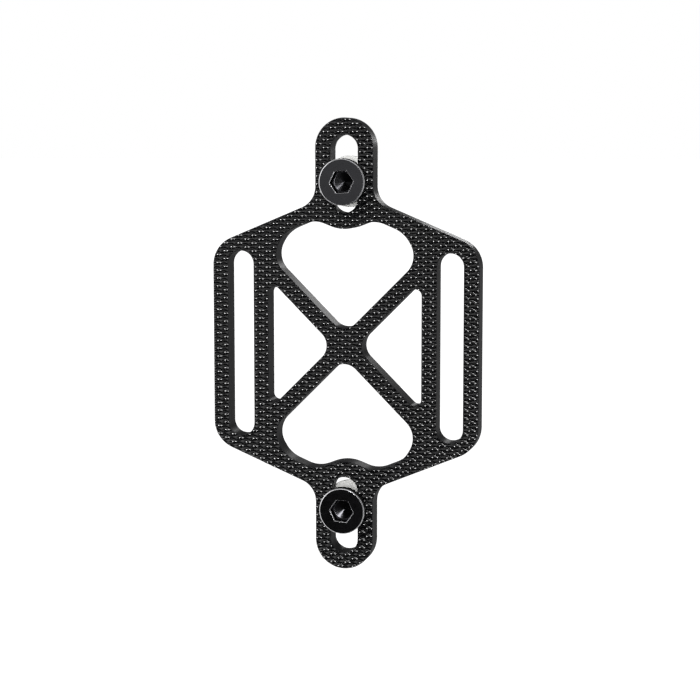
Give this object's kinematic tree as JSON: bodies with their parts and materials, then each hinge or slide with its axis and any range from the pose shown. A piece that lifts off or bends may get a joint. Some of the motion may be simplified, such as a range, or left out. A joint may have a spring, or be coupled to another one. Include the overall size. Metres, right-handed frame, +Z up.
{
  "type": "fork cargo mount",
  "caption": "Flat lightened plate with adjusting slots for screws at both ends and long strap slots at the sides, for strapping cargo to a bicycle fork.",
  "frame": {"origin": "midway between the two screw axes, on the plane where the spacers bear on the fork's threaded bosses", "axes": "+Z up along the line of the screws, towards the upper screw; +Y into the fork, along the screws; the plate faces -Y"},
  "size_m": [0.0532, 0.018, 0.0882],
  "materials": {
    "laminate": "black woven-fibre laminate, resin-rich and half gloss, with milled edges",
    "nylon": "natural white nylon, smooth",
    "black_steel": "black oxide steel, oiled, with edges worn bright"
  },
  "bodies": {
    "plate": {"plate": "laminate"},
    "upper_spacer": {"upper_spacer": "nylon"},
    "lower_spacer": {"lower_spacer": "nylon"},
    "upper_screw": {"upper_screw": "black_steel"},
    "lower_screw": {"lower_screw": "black_steel"}
  },
  "joints": [
    {"name": "upper_screw_slide", "type": "slide", "parent": "plate", "child": "upper_spacer", "axis": [0, 0, 1], "range_m": [-0.0032, 0.0063]},
    {"name": "upper_screw_turn", "type": "hinge", "parent": "upper_spacer", "child": "upper_screw", "pos_m": [0, 0, 0.032], "axis": [0, 1, 0], "continuous": true},
    {"name": "lower_screw_slide", "type": "slide", "parent": "plate", "child": "lower_spacer", "axis": [0, 0, 1], "range_m": [-0.0059, 0.0036]},
    {"name": "lower_screw_turn", "type": "hinge", "parent": "lower_spacer", "child": "lower_screw", "pos_m": [0, 0, -0.032], "axis": [0, 1, 0], "continuous": true}
  ]
}
